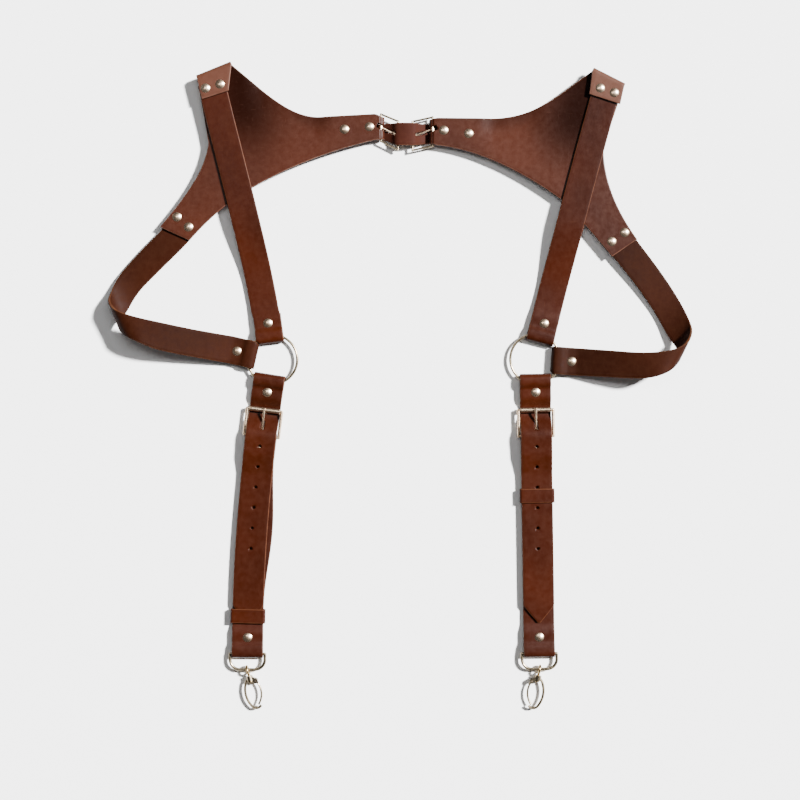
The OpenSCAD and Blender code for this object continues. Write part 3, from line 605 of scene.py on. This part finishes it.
class Shader:
    """A material's nodes, built up in order."""

    def __init__(self, name):
        self.material = bpy.data.materials.new(name)
        self.material.use_nodes = True
        self.tree = self.material.node_tree
        self.tree.nodes.clear()
        self.out = self.tree.nodes.new("ShaderNodeOutputMaterial")

    def node(self, kind, inputs=None, **settings):
        n = self.tree.nodes.new("ShaderNode" + kind)
        for key, value in settings.items():
            setattr(n, key, value)
        for key, value in (inputs or {}).items():
            if isinstance(value, bpy.types.NodeSocket):
                self.tree.links.new(value, n.inputs[key])
            else:
                n.inputs[key].default_value = value
        return n

    def place(self):
        return self.node("TexCoord").outputs["Object"]

    def noise(self, vector, scale, detail=3, rough=0.55):
        inputs = {"Vector": vector, "Scale": scale, "Detail": detail, "Roughness": rough}
        return self.node("TexNoise", inputs).outputs["Fac"]

    def remap(self, value, a, b, c, d):
        inputs = {0: value, 1: a, 2: b, 3: c, 4: d}
        return self.node("MapRange", inputs, clamp=True).outputs[0]

    def math(self, operation, a, b):
        return self.node("Math", {0: a, 1: b}, operation=operation).outputs[0]

    def mix(self, factor, a, b, blend="MIX"):
        n = self.node("Mix", data_type="RGBA", blend_type=blend)
        for socket, value in zip((n.inputs[0], n.inputs[6], n.inputs[7]), (factor, a, b)):
            if isinstance(value, bpy.types.NodeSocket):
                self.tree.links.new(value, socket)
            else:
                socket.default_value = value
        return n.outputs[2]

    def stretched(self, vector, x, y, z):
        return self.node("Mapping", {"Vector": vector, "Scale": (x, y, z)}).outputs["Vector"]

    def finish(self, **sockets):
        shader = self.node("BsdfPrincipled", {k.replace("_", " "): v for k, v in sockets.items()})
        self.tree.links.new(shader.outputs[0], self.out.inputs["Surface"])
        return self.material


# How dark the painted shade is, against the leather's deepest colour
PAINTED_SHADE_DEPTH = 0.25


def leather_face(name, deep, middle, pale, rough, shine):
    """Smooth dyed leather: uneven dye, fine grain with pores, faint creases, worn edges with a painted
    highlight, and painted shade and painted sheen where the mesh marks them.
    """
    s = Shader(name)
    at = s.place()
    cloud = s.remap(s.noise(at, 13, 2, 0.4), 0.3, 0.66, 0, 1)
    mottle = s.remap(s.noise(at, 190, 4), 0.35, 0.7, 0, 1)
    colour = s.mix(cloud, deep, middle)
    colour = s.mix(s.math("MULTIPLY", mottle, 0.07), colour, pale)
    cells = s.node("TexVoronoi", {"Vector": at, "Scale": 1350, "Randomness": 0.9},
                   feature="DISTANCE_TO_EDGE").outputs["Distance"]
    grain = s.remap(cells, 0, 0.22, 0, 1)
    pores = s.remap(s.noise(at, 2600, 2), 0.36, 0.5, 0, 1)
    colour = s.mix(s.math("MULTIPLY", s.remap(grain, 0, 1, 1, 0), 0.28), colour, deep)
    edge = s.node("Attribute", attribute_name="edge").outputs["Fac"]
    # paler within about a millimetre of the edge: real edge wear and a painted highlight on the rounded lip
    worn_edge_highlight = s.math("MULTIPLY", s.remap(edge, 0.25, 1.1, 1, 0),
                  s.remap(s.noise(at, 130, 4), 0.3, 0.65, 0.35, 1))
    shade = s.math("MULTIPLY", s.remap(edge, 0.9, 3.4, 1, 0), 0.3)
    colour = s.mix(shade, colour, deep)
    # painted shade: marked parts darken towards a quarter of the deepest colour and reflect less
    painted_shade = s.node("Attribute", attribute_name="painted_shade").outputs["Fac"]
    colour = s.mix(painted_shade, colour, (*[c * PAINTED_SHADE_DEPTH for c in deep[:3]], 1))
    # painted sheen: marked parts mix towards the pale colour, a little unevenly
    painted_sheen = s.node("Attribute", attribute_name="painted_sheen").outputs["Fac"]
    colour = s.mix(s.math("MULTIPLY", painted_sheen, s.remap(cloud, 0, 1, 0.7, 1)), colour, pale)
    colour = s.mix(s.math("MULTIPLY", worn_edge_highlight, 0.6), colour, pale)
    long_scratch = s.remap(s.noise(s.stretched(at, 90, 1500, 300), 1, 3), 0.66, 0.72, 0, 1)
    cross_scratch = s.remap(s.noise(s.stretched(at, 1300, 80, 300), 1, 3), 0.68, 0.74, 0, 1)
    scratch = s.math("MAXIMUM", long_scratch, cross_scratch)
    colour = s.mix(s.math("MULTIPLY", scratch, 0.12), colour, pale)
    crease = s.noise(s.stretched(at, 1, 0.45, 1), 75, 5, 0.62)
    height = s.math("ADD", s.math("MULTIPLY", grain, 0.35), s.math("MULTIPLY", pores, 0.25))
    fine = s.node("Bump", {"Strength": 0.16, "Distance": 0.0002, "Height": height}).outputs["Normal"]
    bump = s.node("Bump", {"Strength": 0.5, "Distance": 0.0007, "Height": crease, "Normal": fine})
    gloss = s.math("ADD", s.remap(mottle, 0, 1, rough - 0.05, rough + 0.07),
                   s.math("MULTIPLY", scratch, 0.08))
    dulled = s.remap(painted_shade, 0, 1, shine, 0.01)
    return s.finish(Base_Color=colour, Roughness=gloss, Normal=bump.outputs["Normal"],
                    Specular_IOR_Level=dulled)


def leather_back(name, deep, middle, pale):
    """The flesh side: matt, a little paler, with short fibres."""
    s = Shader(name)
    at = s.place()
    colour = s.mix(s.remap(s.noise(at, 30, 4), 0.3, 0.7, 0, 1), deep, middle)
    fibre = s.noise(s.stretched(at, 1, 0.5, 1), 1500, 4, 0.7)
    colour = s.mix(s.remap(fibre, 0.5, 0.75, 0, 0.45), colour, pale)
    edge = s.node("Attribute", attribute_name="edge").outputs["Fac"]
    colour = s.mix(s.remap(edge, 0.2, 1.2, 0.4, 0), colour, pale)
    bump = s.node("Bump", {"Strength": 0.4, "Distance": 0.0003, "Height": fibre}).outputs["Normal"]
    return s.finish(Base_Color=colour, Roughness=0.65, Normal=bump, Specular_IOR_Level=0.07)


def leather_edge(name, deep, pale):
    """The cut edge: packed layers of fibre, burnished unevenly."""
    s = Shader(name)
    at = s.place()
    layers = s.noise(s.stretched(at, 200, 200, 3200), 1, 4, 0.6)
    patch = s.remap(s.noise(at, 160, 3), 0.35, 0.65, 0, 1)
    colour = s.mix(s.remap(layers, 0.35, 0.7, 0, 1), deep, pale)
    colour = s.mix(s.math("MULTIPLY", patch, 0.4), colour, deep)
    bump = s.node("Bump", {"Strength": 0.5, "Distance": 0.0003, "Height": layers}).outputs["Normal"]
    return s.finish(Base_Color=colour, Roughness=0.55, Normal=bump, Specular_IOR_Level=0.45)


def metal(name, colour, dull, rough, wear=0.5):
    """Plated metal: uneven gloss, fine scuffs and a slight tarnish in patches."""
    s = Shader(name)
    at = s.place()
    patch = s.remap(s.noise(at, 120, 4), 0.42, 0.7, 0, 1)
    tint = s.mix(s.math("MULTIPLY", patch, wear), colour, dull)
    scuff = s.remap(s.noise(s.stretched(at, 300, 2600, 900), 1, 3), 0.6, 0.72, 0, 1)
    fine = s.noise(at, 900, 4)
    gloss = s.math("ADD", s.remap(fine, 0.3, 0.7, rough - 0.05, rough + 0.07),
                   s.math("MULTIPLY", scuff, 0.12))
    bump = s.node("Bump", {"Strength": 0.12, "Distance": 0.0002, "Height": fine}).outputs["Normal"]
    return s.finish(Base_Color=tint, Metallic=1.0, Roughness=gloss, Normal=bump)


def colour(r, g, b):
    """An sRGB colour, 0 to 255, as linear."""
    return (*[(v / 255 / 12.92) if v < 10 else ((v / 255 + 0.055) / 1.055) ** 2.4 for v in (r, g, b)], 1)


FACE = leather_face("leather_face", (0.0125, 0.002, 0.0005, 1), (0.026, 0.0043, 0.001, 1),
                    (0.085, 0.03, 0.013, 1), 0.42, 0.07)
FACE_YOKE = leather_face("leather_face_yoke", (0.016, 0.003, 0.001, 1), (0.031, 0.0063, 0.002, 1),
                         (0.13, 0.06, 0.04, 1), 0.42, 0.1)
FACE_DARK = leather_face("leather_face_dark", (0.0125, 0.0021, 0.0006, 1), (0.025, 0.0043, 0.0012, 1),
                         (0.07, 0.025, 0.011, 1), 0.42, 0.1)
FACE_MATT = leather_face("leather_face_matt", (0.009, 0.0019, 0.0006, 1), (0.018, 0.0037, 0.001, 1),
                         (0.065, 0.025, 0.01, 1), 0.6, 0.04)
FACE_LINK = leather_face("leather_face_link", (0.017, 0.0036, 0.0018, 1), (0.03, 0.0068, 0.0036, 1),
                         (0.09, 0.036, 0.02, 1), 0.68, 0.05)
BACK = leather_back("leather_back", (0.009, 0.0016, 0.0005, 1), (0.0165, 0.003, 0.0009, 1),
                    (0.05, 0.017, 0.007, 1))
EDGE = leather_edge("leather_edge", (0.03, 0.01, 0.005, 1), (0.13, 0.055, 0.03, 1))
NICKEL = metal("nickel", colour(224, 198, 170), colour(168, 136, 106), 0.28)
DULL_NICKEL = metal("dull_nickel", colour(150, 136, 114), colour(84, 74, 58), 0.26, 0.8)
BRASSY = metal("brassy", colour(176, 150, 108), colour(110, 92, 66), 0.26)

# ---- build ----

PIECE_MATERIALS = {"face": (FACE, BACK, EDGE), "dark": (FACE_DARK, BACK, EDGE),
                   "yoke": (FACE_YOKE, BACK, EDGE), "matt": (FACE_MATT, BACK, EDGE),
                   "link": (FACE_LINK, BACK, EDGE)}


def dress(obj, node, body, finish="face"):
    obj.data.materials.clear()
    for m in PIECE_MATERIALS[finish]:
        obj.data.materials.append(m)
    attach(obj, body)
    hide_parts(node)


LINK_PRONG_FROM = ((-19.5, 262), (32, 260))
LINK_PRONG_TO = ((-1, 253), (10.5, 252.5))
LINK_SLOT_AT = ((-9.75, 257.3), (19.75, 255.7))
LINK_SLOT = (10.1, 3.4, 20)


def link_turn(i):
    return heading(np.subtract(LINK_PRONG_TO[i], LINK_PRONG_FROM[i]))


def build_yoke(i):
    side = SIDES[i]
    fold = add_object("bar_fold", yoke_bar_fold_mesh("bar_fold", i))
    cut(fold, [((YOKE_END[i][1][0], LINK_PRONG_FROM[i][1]), link_turn(i), PRONG_NOTCH)])
    plate = add_object("plate", yoke_plate_mesh("plate", i))
    cut(plate, [((YOKE_END[i][1][0], LINK_PRONG_FROM[i][1]), link_turn(i), PRONG_NOTCH)])
    mesh = joined("leather_yoke_" + side, [plate.data, fold.data, yoke_tab_mesh("tab", i)])
    for part in (fold, plate):
        bpy.data.objects.remove(part)
    dress(add_object("leather_yoke_" + side, mesh), "yoke_" + side, "half_" + side, "yoke")


# Angles round the ring where neighbouring straps are trimmed clear of each other
NEIGHBOUR_A = (132, 35.8)
SIDE_LOW_A = (212, -40)
TRIM_GAP = 0.2
TRIM_SIZE = (60, 40, 60)


def past_line(i, a, way):
    """The cutter past a line from the ring's centre at angle a, to its left for way 1, right for way -1."""
    turn = math.radians(a)
    along = np.array([math.cos(turn), math.sin(turn)])
    left = np.array([-along[1], along[0]])
    middle = along * TRIM_SIZE[0] / 2 + left * way * (TRIM_SIZE[1] / 2 - TRIM_GAP)
    return np.array(RING_C[i]) + middle, turn, TRIM_SIZE


def build_straps(i):
    side = SIDES[i]
    way = 1 if i == 0 else -1
    shoulder = add_object("leather_shoulder_" + side, strap_mesh("shoulder", shoulder_stations(i)))
    cut(shoulder, [past_line(i, NEIGHBOUR_A[i], way)])
    dress(shoulder, "shoulder_strap_" + side, "half_" + side)
    run = add_object("leather_side_" + side, strap_mesh("side", side_stations(i), face=way))
    cut(run, [past_line(i, NEIGHBOUR_A[i], -way), past_line(i, SIDE_LOW_A[i], way)])
    dress(run, "side_strap_" + side, "half_" + side, "matt")
    billet = add_object("leather_billet_" + side, strap_mesh("billet", billet_stations(i), blur=0.8))
    holes = []
    for k in range(HOLES):
        place, line = drop_at(i, HOLE_FIRST + k * HOLE_PITCH)
        if k == 0:
            holes.append((place - 0.8 * line, heading(line), (9, 2 * HOLE_R + 0.4, 14)))
        else:
            holes.append((place, heading(line), HOLE_R))
    cut(billet, holes)
    dress(billet, "billet_" + side, "drop_" + side)
    lower = add_object("leather_lower_" + side, strap_mesh("lower", lower_stations(i), blur=0.8))
    place, line = drop_at(i, HEEL_AT)
    cut(lower, [(place - 1.5 * line, heading(line), (12, 4.4, 20))])
    dress(lower, "lower_strap_" + side, "drop_" + side, "dark")
    keeper = add_object("leather_keeper_" + side, keeper_mesh("keeper", i))
    dress(keeper, "keeper_" + side, "keeper_" + side)


def build_link():
    stations = [[x, a, z, x, b, z] for x, a, b, z in LINK_RUN]
    link = add_object("leather_link", strap_mesh("link", catmull(stations, 4), step=1.5, blur=0.8, face=-1))
    cut(link, [(LINK_SLOT_AT[i], link_turn(i), LINK_SLOT) for i in (0, 1)])
    dress(link, "link_strap", "link", "link")


build_link()
for index in (0, 1):
    build_yoke(index)
    build_straps(index)

LEATHER_KINDS = ("yoke", "shoulder_strap", "side_strap", "billet", "lower_strap", "keeper")
METALS = {"hook_swivel": BRASSY, "hook_body": DULL_NICKEL, "hook_gate": DULL_NICKEL, "d_ring": DULL_NICKEL,
          "o_ring": DULL_NICKEL, "link_frame": DULL_NICKEL}
for node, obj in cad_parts.items():
    kind = node.rsplit("_", 1)[0]
    if kind in LEATHER_KINDS or node == "link_strap":
        continue
    obj.data.materials.clear()
    obj.data.materials.append(METALS.get(kind, NICKEL))

# ---- floor and light ----


def floor():
    data = bpy.data.meshes.new("floor")
    data.from_pydata([(-3, -3, 0), (3, -3, 0), (3, 3, 0), (-3, 3, 0)], [], [(0, 1, 2, 3)])
    s = Shader("floor")
    data.materials.append(s.finish(Base_Color=(0.94, 0.94, 0.94, 1), Roughness=0.75, Specular_IOR_Level=0.25))
    obj = bpy.data.objects.new("floor", data)
    bpy.context.scene.collection.objects.link(obj)


def area_light(name, place, size, power, tint=(1, 1, 1)):
    data = bpy.data.lights.new(name, "AREA")
    data.shape = "RECTANGLE"
    data.size, data.size_y = size
    data.energy = power
    data.color = tint
    obj = bpy.data.objects.new(name, data)
    obj.location = place
    obj.rotation_euler = (Vector(place)).to_track_quat("Z", "Y").to_euler()
    bpy.context.scene.collection.objects.link(obj)


def key_light(azimuth, elevation, strength, spread):
    data = bpy.data.lights.new("key", "SUN")
    data.energy = strength
    data.angle = math.radians(spread)
    obj = bpy.data.objects.new("key", data)
    a, e = math.radians(azimuth), math.radians(elevation)
    way = Vector((math.cos(a) * math.cos(e), math.sin(a) * math.cos(e), math.sin(e)))
    obj.rotation_euler = way.to_track_quat("Z", "Y").to_euler()
    bpy.context.scene.collection.objects.link(obj)


floor()
key_light(24, 42, 23, 6)
area_light("sheen", (-0.05, 0.55, 1.6), (1.3, 0.3), 8)
world = bpy.data.worlds.new("world")
world.use_nodes = True
world.node_tree.nodes["Background"].inputs["Color"].default_value = (1, 1, 1, 1)
world.node_tree.nodes["Background"].inputs["Strength"].default_value = 0.08
bpy.context.scene.world = world
